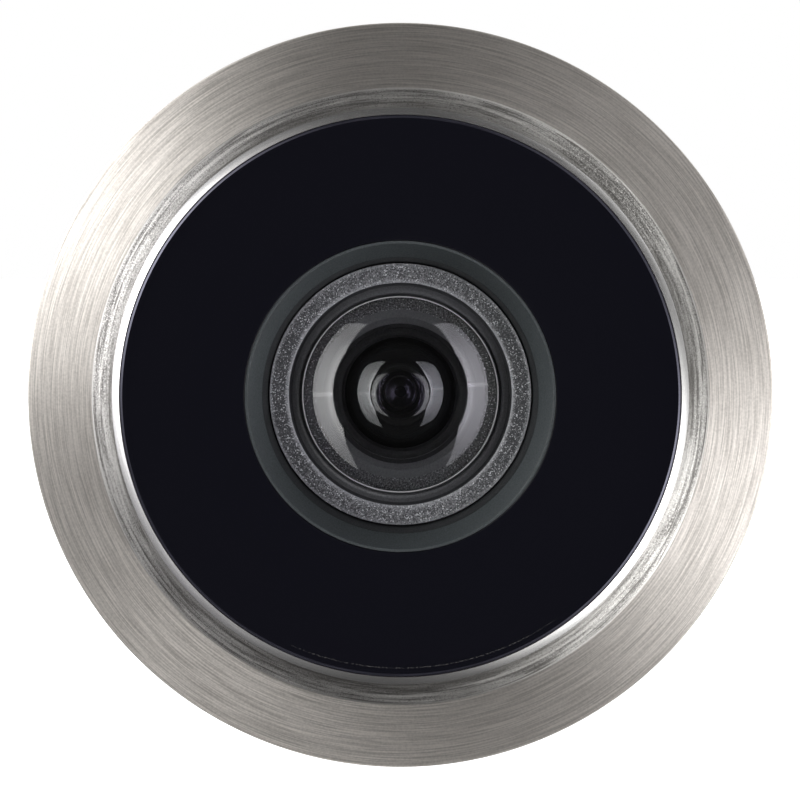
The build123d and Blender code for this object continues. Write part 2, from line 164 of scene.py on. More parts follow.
def torn_slope(name, dark, light, streak, roughness, foot, ridge):
    """Turned slope between two radii: specks and fine rings all over, dark torn streaks near the ridge."""
    made, tree, shader = start_finish(name, Metallic=1.0, Anisotropic=0.4, Anisotropic_Rotation=0.25)
    place, radius, outwards = round_the_axis(tree)
    specks = noise(tree, place, 14000.0, 2.0, 0.7)
    rings = lathe_marks(tree, 0.08, 3.5)
    both = maths(tree, "ADD", maths(tree, "MULTIPLY", specks, 0.45), maths(tree, "MULTIPLY", rings, 0.55))
    base = blend_colours(tree, spread(tree, both, 0.40, 0.60, 0, 1), dark, light)
    near_ridge = spread(tree, radius, (foot + 0.15) / 1000, (ridge - 0.1) / 1000, -0.05, -0.01)
    tears = maths(tree, "SUBTRACT", lathe_marks(tree, 0.05, 5.0, 1.0), near_ridge)
    near_foot = spread(tree, radius, (foot + 0.03) / 1000, (foot + 0.45) / 1000, 0.5, 0.0)
    darkened = maths(tree, "MAXIMUM", spread(tree, tears, 0.43, 0.33, 0, 0.8), near_foot)
    paint(tree, shader, darkened, base, streak)
    link(tree, spread(tree, specks, 0.35, 0.65, roughness + 0.12, roughness - 0.12), shader, "Roughness")
    raise_surface(tree, shader, both, 0.006)
    follow_marks(tree, shader)
    return made


def show(name, made, finishes, body, slot, *stands_for):
    """Object from a finished bmesh, smooth but for its sharp corners, on its body and for its CAD nodes."""
    mesh = bpy.data.meshes.new(name)
    made.to_mesh(mesh)
    made.free()
    for finish in finishes:
        mesh.materials.append(finish)
    mesh.shade_smooth()
    mesh.set_sharp_from_angle(angle=math.radians(24))
    piece = bpy.data.objects.new(name, mesh)
    bpy.context.scene.collection.objects.link(piece)
    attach(piece, body)
    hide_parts(*stands_for)
    return piece


def outline(made, *corners, closed=True):
    """Wire of the half section, from (radius, y) corners in mm; a third number rounds that corner."""
    points = [made.verts.new((corner[0] / 1000, corner[1] / 1000, 0)) for corner in corners]
    for start, end in zip(points, points[1:] + points[:1] if closed else points[1:]):
        made.edges.new((start, end))
    for point, corner in zip(points, corners):
        if len(corner) > 2:
            bmesh.ops.bevel(
                made, geom=[point], offset=corner[2] / 1000, offset_type="OFFSET",
                segments=5, profile=0.5, affect="VERTICES", material=-1,
            )


def turn_round(made, steps=360, height=0.0):
    """Turns the drawn half section once round its axis, height mm above the optical one, and closes it."""
    bmesh.ops.spin(
        made, geom=made.verts[:] + made.edges[:], cent=(0, 0, 0), axis=(0, 1, 0),
        angle=2 * math.pi, steps=steps, use_merge=True, use_duplicate=False,
    )
    bmesh.ops.remove_doubles(made, verts=made.verts, dist=1e-7)
    bmesh.ops.recalc_face_normals(made, faces=made.faces)
    bmesh.ops.translate(made, verts=made.verts, vec=(0, 0, height / 1000))


def radius_and_y(face):
    centre = face.calc_center_median()
    return 1000 * math.hypot(centre.x, centre.z), 1000 * centre.y


bezel_radius, bezel_edge, seat_radius, flange_front = 18.0, -1.8, 15.48, -1.3
ridge_radius, ridge, ridge_band_width, ridge_band_end = 14.85, -2.9, 0.07, -2.867
slope_foot_radius, slope_foot, lip_foot_radius, lip_foot = 13.9, -2.45, 13.57, -2.28
bezel = bmesh.new()
outline(
    bezel,
    (seat_radius, 0, 0.04), (bezel_radius, 0, 0.08), (bezel_radius, bezel_edge, 0.14),
    (ridge_radius, ridge, 0.015), (ridge_radius - ridge_band_width, ridge_band_end), (slope_foot_radius, slope_foot),
    (lip_foot_radius, lip_foot, 0.01), (lip_foot_radius, flange_front), (seat_radius, flange_front, 0.04),
)
turn_round(bezel, 480)
for face in bezel.faces:
    radius, y = radius_and_y(face)
    if y < -2.1 and radius < slope_foot_radius:
        face.material_index = 2
    elif y < -2.4 and radius < ridge_radius - ridge_band_width:
        face.material_index = 1
    elif y < -2.4 and radius < ridge_radius - 0.01:
        face.material_index = 3
satin_nickel = brushed_metal(
    "satin_nickel_brushed", (0.525, 0.493, 0.457), (0.88, 0.832, 0.779),
    roughness=0.49, pitch=0.10, depth=0.0009, stretch=0.9,
)
turned_slope = torn_slope(
    "nickel_turned_slope", (0.19, 0.183, 0.173), (0.80, 0.78, 0.75), streak=(0.13, 0.123, 0.114),
    roughness=0.37, foot=slope_foot_radius, ridge=ridge_radius,
)
polished_lip = brushed_metal(
    "nickel_polished_lip", (0.66, 0.65, 0.64), (0.82, 0.81, 0.80),
    roughness=0.22, pitch=0.08, depth=0.0008, stretch=0.4,
)
# Ridge: polished nickel, its colour painted lighter as a highlight along the ridge.
ridge_painted_highlight = brushed_metal(
    "nickel_ridge_painted_highlight", (0.62, 0.60, 0.57), (0.92, 0.90, 0.87),
    roughness=0.34, pitch=0.07, depth=0.001, stretch=0.6,
)
bezel_finishes = [satin_nickel, turned_slope, polished_lip, ridge_painted_highlight]
show("bezel_turned", bezel, bezel_finishes, "outer_unit", "brushed_nickel", "bezel_ring")


# Fascia disc: gloss black acrylic with a polished chamfer, taped on the barrel's flange. Dust has
# settled in a fine line just inside the edge, at the bottom.

fascia_radius, fascia_front, fascia_back, fascia_hole = 13.55, -2.3, -1.4, 7.53
chamfer_width, chamfer_back = 0.14, -2.22
fascia = bmesh.new()
outline(
    fascia,
    (fascia_hole, fascia_back), (fascia_radius, fascia_back, 0.05), (fascia_radius, chamfer_back),
    (fascia_radius - chamfer_width, fascia_front), (fascia_hole, fascia_front, 0.02),
)
turn_round(fascia)
for face in fascia.faces:
    radius, y = radius_and_y(face)
    if radius > fascia_radius - chamfer_width + 0.01 and y < chamfer_back - 0.01:
        face.material_index = 1

dust_radius, dust_half_width, dusty_side = 13.12, 0.04, (0.09, 0, -0.996)
gloss_black, tree, shader = start_finish("gloss_black_acrylic", IOR=1.49)
place, radius, outwards = round_the_axis(tree)
off_line = maths(tree, "ABSOLUTE", maths(tree, "SUBTRACT", radius, dust_radius / 1000))
on_line = spread(tree, off_line, 0.25 * dust_half_width / 1000, dust_half_width / 1000, 1, 0)
grains = spread(tree, noise(tree, place, 14000.0, 1.0), 0.48, 0.62, 0, 1)
downwards = vector(tree, "DOT_PRODUCT", outwards, dusty_side, result="Value")
at_the_bottom = spread(tree, downwards, 0.86, 0.93, 0, 1)
dust = maths(tree, "MULTIPLY", on_line, maths(tree, "MULTIPLY", grains, at_the_bottom))
paint(tree, shader, dust, (0.004, 0.004, 0.0065), (0.07, 0.068, 0.066))
link(tree, spread(tree, lathe_marks(tree, 1.6, 1.5), 0.3, 0.8, 0.04, 0.12), shader, "Roughness")

black_chamfer, tree, shader = start_finish(
    "gloss_black_chamfer", Roughness=0.12, IOR=1.49,
    Specular_IOR_Level=0.9, Specular_Tint=(0.80, 0.79, 1.0, 1),
)
buffed = spread(tree, lathe_marks(tree, 0.05, 6.0), 0.35, 0.65, 0, 1)
paint(tree, shader, buffed, (0.006, 0.006, 0.009), (0.022, 0.022, 0.030))
show("fascia_gloss_disc", fascia, [gloss_black, black_chamfer], "outer_unit", "black_gloss", "fascia_disc")


# Fascia tape: a ring of black foam tape that holds the disc on the barrel's flange. It is hidden
# behind the disc, and its CAD shape is kept.

def refinish(name, finish):
    """Gives a CAD solid whose shape is kept this finish."""
    node[name].data.materials.clear()
    node[name].data.materials.append(finish)


foam_tape, tree, shader = start_finish("black_foam_tape", Roughness=0.85)
cells = add(tree, "TexVoronoi", {"Vector": place_on_piece(tree), "Scale": 9000.0}).outputs["Distance"]
paint(tree, shader, cells, (0.012, 0.012, 0.012), (0.05, 0.05, 0.05))
raise_surface(tree, shader, cells, 0.03)
refinish("fascia_adhesive", foam_tape)


# Mouth ring: a sleeve turned in aluminium and anodised dark green-grey. Its cone leads from the
# disc down to the lens, and its far end clamps the lens hood. Its steep throat wall is painted darker as
# shade.

def satin_dark(name, dark, light, roughness, grain, depth, specular=0.5):
    """Dark anodised, moulded or rubber surface with an even grain, grain and depth in mm."""
    made, tree, shader = start_finish(name, Specular_IOR_Level=specular)
    speckle = noise(tree, place_on_piece(tree), 1000 / grain, 4.0, 0.65)
    paint(tree, shader, spread(tree, speckle, 0.35, 0.65, 0, 1), dark, light)
    link(tree, spread(tree, speckle, 0.3, 0.7, roughness + 0.1, roughness - 0.1), shader, "Roughness")
    raise_surface(tree, shader, speckle, depth)
    return made


mouth_radius, rim_radius, sleeve_radius, sleeve_back = 7.5, 7.375, 7.17, 1.35
throat_radius, throat, throat_end_radius = 6.7, -0.65, 6.47
mouth = bmesh.new()
outline(
    mouth,
    (rim_radius, fascia_front, 0.02), (mouth_radius, fascia_front), (mouth_radius, flange_front),
    (sleeve_radius, flange_front), (sleeve_radius, sleeve_back), (throat_end_radius, sleeve_back, 0.02),
    (throat_radius, throat, 0.08),
)
turn_round(mouth, 300)
for face in mouth.faces:
    radius, y = radius_and_y(face)
    if radius < throat_radius + 0.02:
        face.material_index = 1
green_grey = satin_dark(
    "anodised_green_grey", (0.022, 0.027, 0.029), (0.048, 0.055, 0.058),
    roughness=0.42, grain=0.08, depth=0.002,
)
# Painted shade: a darker copy of the anodised finish on the steep throat wall.
throat_painted_shade = satin_dark(
    "anodised_throat_painted_shade", (0.006, 0.007, 0.008), (0.016, 0.018, 0.019),
    roughness=0.5, grain=0.08, depth=0.001, specular=0.3,
)
show("mouth_turned_ring", mouth, [green_grey, throat_painted_shade], "outer_unit", "dark_matte", "mouth_ring")


# Lens hood: moulded in dark grey plastic. Its front ring carries a spark-eroded grain with painted glints and
# painted edge light, a smooth groove with a step painted lighter as light follows, and a thin rim, painted
# light grey as a highlight, stands round the front lens.

def spark_grain(name, dark, light, inner, outer):
    """Moulded grain with painted glints as bright points, and painted light along both edges of its ring,
    strongest at the left and right sides, where its middle gets painted shade (radii in mm).
    """
    made, tree, shader = start_finish(name)
    place, radius, outwards = round_the_axis(tree)
    grain = noise(tree, place, 13000.0, 1.5, 0.6)
    middle, half_width = (inner + outer) / 2000, (outer - inner) / 2000
    off_middle = maths(tree, "ABSOLUTE", maths(tree, "SUBTRACT", radius, middle))
    edge = spread(tree, off_middle, half_width / 1.8, half_width / 1.1, 0.0, 1.0)
    to_the_side = maths(tree, "ABSOLUTE", add(tree, "SeparateXYZ", {0: outwards}).outputs["X"])
    sideways = spread(tree, to_the_side, 0.45, 0.95, 0, 1)
    # Painted light and shade: both edges lighter and the middle darker, most at the left and right sides.
    edge_painted_light = maths(tree, "MULTIPLY", edge, spread(tree, sideways, 0, 1, 0.18, 0.40))
    painted_side_light_and_shade = maths(tree, "SUBTRACT", edge_painted_light, spread(tree, sideways, 0, 1, 0.02, 0.14))
    body = blend_colours(tree, spread(tree, maths(tree, "ADD", grain, painted_side_light_and_shade), 0.36, 0.74, 0, 1), dark, light)
    # Painted glints: sparse bright points in the colour stand in for the grain's sparkle.
    points = spread(tree, noise(tree, place, 15000.0, 0.0), 0.68, 0.76, 0, 1)
    paint(tree, shader, points, body, (0.62, 0.63, 0.65))
    link(tree, spread(tree, grain, 0.3, 0.7, 0.5, 0.3), shader, "Roughness")
    raise_surface(tree, shader, grain, 0.008)
    return made


hood_front, hood_back, hood_bore, lens_seat = 1.36, 6.587, 5.63, 1.65
grain_inner, grain_outer, grain_plane = 5.49, 6.42, 1.10
hood_rim_inner, hood_rim_outer, hood_rim_front, groove_floor = 4.75, 4.81, 0.8, 1.25
hood = bmesh.new()
outline(
    hood,
    (sleeve_radius, hood_front), (sleeve_radius, hood_back), (hood_bore, hood_back), (hood_bore, lens_seat),
    (hood_rim_inner, lens_seat), (hood_rim_inner, hood_rim_front), (hood_rim_outer, hood_rim_front),
    (4.83, 0.9), (4.88, groove_floor), (4.97, 1.12, 0.03), (5.12, 1.15, 0.04), (5.35, 1.35, 0.05),
    (grain_inner, grain_plane, 0.06), (grain_outer, grain_plane, 0.04), (grain_outer, hood_front),
)
turn_round(hood, 300)
for face in hood.faces:
    radius, y = radius_and_y(face)
    if radius > grain_inner - 0.06 and y < grain_plane + 0.1:
        face.material_index = 1
    elif radius < hood_rim_outer and y < hood_rim_front + 0.01:
        face.material_index = 2
    elif 4.9 < radius < 5.28 and y < 1.32:
        face.material_index = 3
hood_smooth = satin_dark(
    "hood_black_smooth", (0.016, 0.017, 0.019), (0.030, 0.031, 0.034),
    roughness=0.45, grain=0.1, depth=0.001,
)
hood_grain = spark_grain(
    "hood_spark_grain", (0.048, 0.050, 0.054), (0.31, 0.315, 0.33), inner=grain_inner, outer=grain_outer
)
# Painted highlight: a light grey copy of the hood's plastic on the thin rim.
rim_painted_highlight = satin_dark(
    "hood_rim_painted_highlight", (0.24, 0.242, 0.25), (0.38, 0.383, 0.39),
    roughness=0.3, grain=0.08, depth=0.001,
)
# Painted light: a lighter copy of the hood's plastic on the groove's step.
step_painted_light = satin_dark(
    "hood_groove_step_painted_light", (0.06, 0.061, 0.065), (0.11, 0.112, 0.118),
    roughness=0.35, grain=0.08, depth=0.001,
)
hood_finishes = [hood_smooth, hood_grain, rim_painted_highlight, step_painted_light]
show("hood_moulded", hood, hood_finishes, "outer_unit", "textured_hood", "lens_hood")


# Lens seal: a thin washer of black rubber, cut from sheet. It lies between the hood's seat and
# the front lens and keeps the rain out.

def flat_ring(name, radii, planes, finish, body, slot, stands_for, rounding=0.02, height=0.0):
    """Turned flat ring between two radii and two places along the axis, in mm."""
    (inner, outer), (front, back) = radii, planes
    made = bmesh.new()
    outline(
        made,
        (inner, front, rounding), (outer, front, rounding), (outer, back, rounding), (inner, back, rounding),
    )
    turn_round(made, 192, height)
    show(name, made, [finish], body, slot, stands_for)


lens_radius, seal_hole, seal_front, seal_back = 5.59, 4.78, 1.66, 1.74
rubber = satin_dark(
    "rubber_black", (0.014, 0.014, 0.015), (0.034, 0.034, 0.036),
    roughness=0.72, grain=0.09, depth=0.006, specular=0.3,
)
flat_ring(
    "lens_seal_ring", (seal_hole, lens_radius), (seal_front, seal_back),
    rubber, "outer_unit", "rubber", "lens_seal",
)


# Lenses: pressed and polished glasses, three menisci behind each other in the hood and a weak
# eyepiece in the inner barrel. The faces next to the sky keep their shine, the inner faces are coated.

def glass(name, shine, light=(0.985, 0.99, 1.0), dark=(0.95, 0.96, 0.975)):
    """Polished glass whose reflections have this tint; wiping has left it a little darker in places."""
    made, tree, shader = start_finish(
        name, Transmission_Weight=1.0, IOR=1.6, Roughness=0.0, Specular_Tint=(*shine, 1)
    )
    wiped = noise(tree, place_on_piece(tree), 350.0)
    paint(tree, shader, spread(tree, wiped, 0.4, 0.7, 0, 1), light, dark)
    return made


def arc(made, vertex, curve, reach, facets=40):
    """Wire of a lens face, from the axis out to reach; a positive curve bulges towards -Y."""
    start = made.verts.new((0, vertex / 1000, 0))
    swept = bmesh.ops.spin(
        made, geom=[start], cent=(0, (vertex + curve) / 1000, 0), axis=(0, 0, 1),
        angle=math.asin(reach / curve), steps=facets,
    )
    return swept["geom_last"][0]


def edge_plane(vertex, curve, reach):
    """Place along the axis at which a lens face ends."""
    return vertex + curve - math.sqrt(curve**2 - reach**2)


def lens(name, body, front, back, edge, coated_from, uncoated=(0, 0)):
    """Turned glass between two faces, each (vertex, curve, reach), with the (radius, y) corners of its edge.

    Behind the place coated_from it is coated, except in a narrow ring between the uncoated radii.
    """
    made = bmesh.new()
    last = arc(made, *front)
    for radius, y in edge:
        corner = made.verts.new((radius / 1000, y / 1000, 0))
        made.edges.new((last, corner))
        last = corner
    made.edges.new((last, arc(made, *back)))
    turn_round(made, 192)
    for face in made.faces:
        radius, y = radius_and_y(face)
        if radius > front[2] + 0.02:
            face.material_index = 2
        elif y > coated_from and not uncoated[0] < radius < uncoated[1]:
            face.material_index = 1
    show(name + "_glass", made, [bright_glass, coated_glass, ground_edge], body, "lens_glass", name + "_lens")


bright_glass = glass("lens_glass", shine=(1, 1, 1))
coated_glass = glass("lens_glass_coated", shine=(0.10, 0.09, 0.13))
ground_edge = glass(
    "lens_glass_ground_edge", shine=(0.3, 0.3, 0.3), light=(0.025, 0.025, 0.027), dark=(0.015, 0.015, 0.016)
)
front_reach, front_hollow_reach, middle_reach, middle_hollow_reach, rear_reach = 4.72, 3.05, 2.9, 1.9, 1.6
front_face, front_hollow = (0.2, 12.0, front_reach), (1.2, 4.5, front_hollow_reach)
middle_face, middle_hollow = (2.8, 12.0, middle_reach), (3.6, 2.5, middle_hollow_reach)
rear_face, rear_hollow = (4.8, 6.0, rear_reach), (5.5, 3.5, rear_reach)
front_lens_back = edge_plane(*front_hollow)
middle_lens_front, middle_lens_back = edge_plane(*middle_face), edge_plane(*middle_hollow)
rear_lens_front, rear_lens_back = edge_plane(*rear_face), edge_plane(*rear_hollow)
lens_gap, lens_step = 0.01, 1.75
lens(
    "front", "outer_unit", front_face, front_hollow,
    [
        (front_reach, lens_step), (lens_radius, lens_step),
        (lens_radius, front_lens_back - lens_gap), (front_hollow_reach, front_lens_back - lens_gap),
    ],
    coated_from=1.1, uncoated=(1.15, 1.45),
)
lens(
    "middle", "outer_unit", middle_face, middle_hollow,
    [
        (middle_reach, middle_lens_front + lens_gap), (lens_radius, middle_lens_front + lens_gap),
        (lens_radius, middle_lens_back - lens_gap), (middle_hollow_reach, middle_lens_back - lens_gap),
    ],
    coated_from=3.4,
)
lens(
    "rear", "outer_unit", rear_face, rear_hollow,
    [
        (rear_reach, rear_lens_front + lens_gap), (lens_radius, rear_lens_front + lens_gap),
        (lens_radius, rear_lens_back - lens_gap), (rear_reach, rear_lens_back - lens_gap),
    ],
    coated_from=4.0,
)
eyepiece_radius, eyepiece_front, eyepiece_back = 5.96, 44.9, 46.3
eyepiece_curve, eyepiece_reach = 45.0, 5.49
eyepiece_bulge = edge_plane(0, eyepiece_curve, 5.5)
lens(
    "eyepiece", "inner_barrel",
    (eyepiece_front - eyepiece_bulge, eyepiece_curve, eyepiece_reach),
    (eyepiece_back + eyepiece_bulge, -eyepiece_curve, eyepiece_reach),
    [
        (eyepiece_reach, eyepiece_front), (eyepiece_radius, eyepiece_front + lens_gap),
        (eyepiece_radius, eyepiece_back - lens_gap), (eyepiece_reach, eyepiece_back),
    ],
    coated_from=45.5,
)


# Front spacer: a black anodised ring between the first two lenses. Its land is blasted, with painted glints
# and painted edge light, and shows through the front lens; further in it is smooth, its bevel painted lighter
# as light, and the edge of the black bore carries a thin painted highlight.

spacer_bore, highlight_ring_inner, highlight_ring_outer, land_inner, land_smooth_end = 3.0, 3.22, 3.28, 3.56, 3.95
spacer = bmesh.new()
outline(
    spacer,
    (land_inner, front_lens_back, 0.02), (land_smooth_end, front_lens_back),
    (lens_radius, front_lens_back), (lens_radius, middle_lens_front),
    (spacer_bore, middle_lens_front), (spacer_bore, front_lens_back + 0.4),
    (highlight_ring_inner, front_lens_back + 0.243), (highlight_ring_outer, front_lens_back + 0.2),
)
turn_round(spacer, 300)
for face in spacer.faces:
    radius, y = radius_and_y(face)
    if radius < highlight_ring_inner - 0.02:
        face.material_index = 2
    elif radius < highlight_ring_outer - 0.01:
        face.material_index = 3
    elif radius < land_smooth_end - 0.05:
        face.material_index = 1
# The blasted grain brings painted glints and painted edge light with it, as in the hood.
blasted_land = spark_grain(
    "spacer_blasted_land", (0.028, 0.028, 0.030), (0.31, 0.31, 0.32), inner=land_inner, outer=5.6
)
# Painted light: a lighter copy of the black anodised finish on the bevel.
spacer_bevel_painted_light = satin_dark(
    "spacer_bevel_painted_light", (0.11, 0.111, 0.118), (0.17, 0.171, 0.18),
    roughness=0.35, grain=0.1, depth=0.001,
)
black_anodised = satin_dark(
    "anodised_black", (0.010, 0.010, 0.011), (0.026, 0.026, 0.028),
    roughness=0.5, grain=0.08, depth=0.001, specular=0.3,
)
# Painted highlight: a thin grey ring at the edge of the black bore.
bore_edge_painted_highlight = satin_dark(
    "spacer_bore_edge_painted_highlight", (0.10, 0.10, 0.11), (0.16, 0.16, 0.17),
    roughness=0.35, grain=0.1, depth=0.001,
)
spacer_finishes = [blasted_land, spacer_bevel_painted_light, black_anodised, bore_edge_painted_highlight]
show("front_spacer_ring", spacer, spacer_finishes, "outer_unit", "black_anodised", "front_spacer")


# Middle spacer and rear stop: two more black rings; the stop's small hole keeps stray light out.
# The retaining ring behind them is screwed in with a pin spanner, and its CAD shape is kept.

stop_radius, stop_thickness = 1.7, 0.15
flat_ring(
    "middle_spacer_ring", (stop_radius, lens_radius), (middle_lens_back, rear_lens_front),
    black_anodised, "outer_unit", "black_anodised", "middle_spacer",
)
flat_ring(
    "rear_stop_washer", (stop_radius, lens_radius), (rear_lens_back, rear_lens_back + stop_thickness),
    black_anodised, "outer_unit", "black_anodised", "rear_stop",
)
refinish("lens_retaining_ring", black_anodised)


# Outer barrel: the flanged brass tube through the door, turned and nickel plated, with a dark
# bore. The head's parts sit in front of its flange, and the inner barrel screws into its far end.

barrel_radius, barrel_end, barrel_flange_radius, flange_back = 7.9, 34.0, 15.45, -0.5
front_bore, shoulder_bore, relief_bore, nut_bore, nut_front = 7.2, 6.7, 7.36, 7.14, 26.0
shoulder_back, end_chamfer = hood_back + 0.5, 0.3
barrel = bmesh.new()
outline(
    barrel,
    (front_bore, flange_front), (barrel_flange_radius, flange_front, 0.05),
    (barrel_flange_radius, flange_back, 0.05), (barrel_radius, flange_back),
    (barrel_radius, barrel_end - end_chamfer, 0.05), (barrel_radius - end_chamfer, barrel_end, 0.05),
    (nut_bore, barrel_end, 0.05), (nut_bore, nut_front), (relief_bore, nut_front),
    (relief_bore, shoulder_back), (shoulder_bore, shoulder_back),
    (shoulder_bore, hood_back), (front_bore, hood_back),
)
turn_round(barrel, 240)
for face in barrel.faces:
    radius, y = radius_and_y(face)
    if radius < relief_bore + 0.02 and y < barrel_end - 0.1:
        face.material_index = 1
turned_nickel = brushed_metal(
    "nickel_plate_turned", (0.50, 0.47, 0.42), (0.80, 0.77, 0.71),
    roughness=0.34, pitch=0.16, depth=0.004, stretch=0.8,
)
dark_bore = brushed_metal(
    "nickel_bore_dark", (0.045, 0.042, 0.038), (0.13, 0.125, 0.115),
    roughness=0.5, pitch=0.2, depth=0.004, stretch=0.6,
)
barrel_finishes = [turned_nickel, dark_bore]
show("outer_barrel_tube", barrel, barrel_finishes, "outer_unit", "nickel_plated_brass", "outer_barrel")


# Door gasket: a die-cut ring of black rubber in the outer head, behind the barrel's flange. It
# keeps water out of the hole and the nickel off the paint.

door_gasket_hole, door_gasket_radius, door_face = 8.8, 15.4, 0.0
flat_ring(
    "door_gasket_ring", (door_gasket_hole, door_gasket_radius), (flange_back, door_face),
    rubber, "outer_unit", "rubber", "door_gasket", 0.06,
)


# Rosette gasket: a thinner die-cut ring of the same rubber. It lies in the rosette, against the
# door's inner face, and closes the gap round the barrel.

rosette_gasket_hole, rosette_gasket_radius, door_inner_face, rosette_front = 7.6, 16.6, 44.0, 44.4
flat_ring(
    "rosette_gasket_ring", (rosette_gasket_hole, rosette_gasket_radius), (door_inner_face, rosette_front),
    rubber, "inner_rosette", "rubber", "rosette_gasket", 0.05,
)


# Inner rosette: round cover plate of satin nickel, brushed like the outer ring, with a soft edge.
# The boss of the privacy cover's pivot is soldered on near its upper edge.

rosette_radius, rosette_hole, rosette_back = 17.5, 7.35, 46.0
rosette = bmesh.new()
outline(
    rosette,
    (rosette_hole, rosette_front, 0.05), (rosette_radius, rosette_front, 0.05),
    (rosette_radius, rosette_back, 0.6), (rosette_hole, rosette_back, 0.08),
)
turn_round(rosette)
show("rosette_plate", rosette, [satin_nickel], "inner_rosette", "brushed_nickel", "inner_rosette")

pivot_height, pivot_radius, boss_radius, boss_root, boss_end = 13.0, 1.0, 1.9, 45.6, 48.5
boss = bmesh.new()
outline(
    boss,
    (pivot_radius, boss_root), (boss_radius, boss_root),
    (boss_radius, boss_end, 0.08), (pivot_radius, boss_end, 0.05),
)
turn_round(boss, 96, pivot_height)
pivot_nickel = brushed_metal(
    "nickel_pivot_boss", (0.46, 0.45, 0.43), (0.82, 0.80, 0.78),
    roughness=0.36, pitch=0.12, depth=0.002, stretch=0.7, height=pivot_height,
)
show("rosette_pivot_boss", boss, [pivot_nickel], "inner_rosette", "brushed_nickel", "inner_rosette")


# Stop pin: a drawn steel pin with a rounded end, pressed into the rosette above the pivot. The
# cover's arm meets it at both ends of its swing.

pin_height, pin_radius, pin_root, pin_end = 16.2, 0.6, 45.0, 50.45
pin = bmesh.new()
outline(pin, (0, pin_root), (pin_radius, pin_root), (pin_radius, pin_end, 0.15), (0, pin_end), closed=False)
turn_round(pin, 64, pin_height)
pin_steel = brushed_metal(
    "steel_pin", (0.42, 0.42, 0.43), (0.66, 0.66, 0.68),
    roughness=0.26, pitch=0.09, depth=0.001, stretch=0.5, height=pin_height,
)
show("stop_pin", pin, [pin_steel], "inner_rosette", "spring_steel", "cover_stop_pin")


# Pivot rivet: turned steel, its shank closed in the boss and its low crown polished. The cover
# swings on it, over a pale nylon washer.

crown_radius, crown_rise, crown_foot, shank_end = 1.9, 0.8, 50.0, 45.9
crown_curve = (crown_radius**2 + crown_rise**2) / (2 * crown_rise)
rivet = bmesh.new()
crown_top = rivet.verts.new((0, (crown_foot + crown_rise) / 1000, 0))
crown = bmesh.ops.spin(
    rivet, geom=[crown_top], cent=(0, (crown_foot + crown_rise - crown_curve) / 1000, 0), axis=(0, 0, 1),
    angle=-math.asin(crown_radius / crown_curve), steps=20,
)
last = crown["geom_last"][0]
for radius, y in ((pivot_radius, crown_foot), (pivot_radius, shank_end), (0, shank_end)):
    corner = rivet.verts.new((radius / 1000, y / 1000, 0))
    rivet.edges.new((last, corner))
    last = corner
turn_round(rivet, 96, pivot_height)
rivet_steel = brushed_metal(
    "steel_rivet", (0.50, 0.50, 0.51), (0.74, 0.74, 0.76),
    roughness=0.2, pitch=0.08, depth=0.0008, stretch=0.5, height=pivot_height,
)
show("pivot_rivet", rivet, [rivet_steel], "inner_rosette", "spring_steel", "cover_pivot_rivet")

nylon, tree, shader = start_finish(
    "nylon_natural", Subsurface_Weight=0.15, Subsurface_Scale=0.0004, Specular_IOR_Level=0.4
)
flow = noise(tree, place_on_piece(tree), 900.0, 4.0)
paint(tree, shader, spread(tree, flow, 0.35, 0.65, 0, 1), (0.60, 0.58, 0.52), (0.74, 0.73, 0.69))
link(tree, spread(tree, flow, 0.3, 0.7, 0.38, 0.52), shader, "Roughness")
flat_ring(
    "cover_slip_washer", (pivot_radius, boss_radius), (boss_end, boss_end + 0.2),
    nylon, "inner_rosette", "slip_washer", "cover_washer", 0.03, pivot_height,
)
head_washer_radius = 9.6
flat_ring(
    "head_slip_washer", (rosette_hole, head_washer_radius), (rosette_back, rosette_back + 0.3),
    nylon, "inner_rosette", "slip_washer", "head_washer", 0.04,
)


# Inner barrel: a brass tube with a fine screw thread, which pulls the rosette against the door. Its
# round head has two slots for a coin. The thread is a real right-hand helix of 1 mm pitch.

tube_bore, tube_radius, neck_radius, tube_tip, neck_start = 5.5, 6.6, 6.5, 17.0, 43.0
head_radius, head_front, head_back, pocket_radius = 10.0, 46.35, 48.15, 6.0
tube = bmesh.new()
outline(
    tube,
    (tube_bore, tube_tip, 0.05), (tube_radius, tube_tip, 0.1), (tube_radius, neck_start),
    (neck_radius, neck_start + 0.1), (neck_radius, head_front), (head_radius, head_front, 0.1),
    (head_radius, head_back, 0.3), (pocket_radius, head_back, 0.1), (pocket_radius, eyepiece_front),
    (tube_bore, eyepiece_front),
)
turn_round(tube, 240)
for face in tube.faces:
    radius, y = radius_and_y(face)
    if radius < pocket_radius + 0.02 and y < head_back - 0.15:
        face.material_index = 1
tube_piece = show(
    "inner_barrel_tube", tube, barrel_finishes, "inner_barrel", "nickel_plated_brass", "inner_barrel"
)

slot_length, slot_depth, slot_width = 5.2, 1.8, 1.6
slot_size = Matrix.Diagonal((slot_length, slot_depth, slot_width, 1))
slot_cutter = bmesh.new()
for side in (-head_radius, head_radius):
    slot_place = Matrix.Translation((side / 1000, head_back / 1000, 0))
    bmesh.ops.create_cube(slot_cutter, size=0.001, matrix=slot_place @ slot_size)
cutter_mesh = bpy.data.meshes.new("slot_cutter")
slot_cutter.to_mesh(cutter_mesh)
cutter = bpy.data.objects.new("slot_cutter", cutter_mesh)
bpy.context.scene.collection.objects.link(cutter)
cut = tube_piece.modifiers.new("coin_slots", "BOOLEAN")
cut.object, cut.operation, cut.solver = cutter, "DIFFERENCE", "EXACT"
cut_mesh = bpy.data.meshes.new_from_object(tube_piece.evaluated_get(bpy.context.evaluated_depsgraph_get()))
tube_piece.modifiers.clear()
tube_piece.data = cut_mesh
bpy.data.objects.remove(cutter)

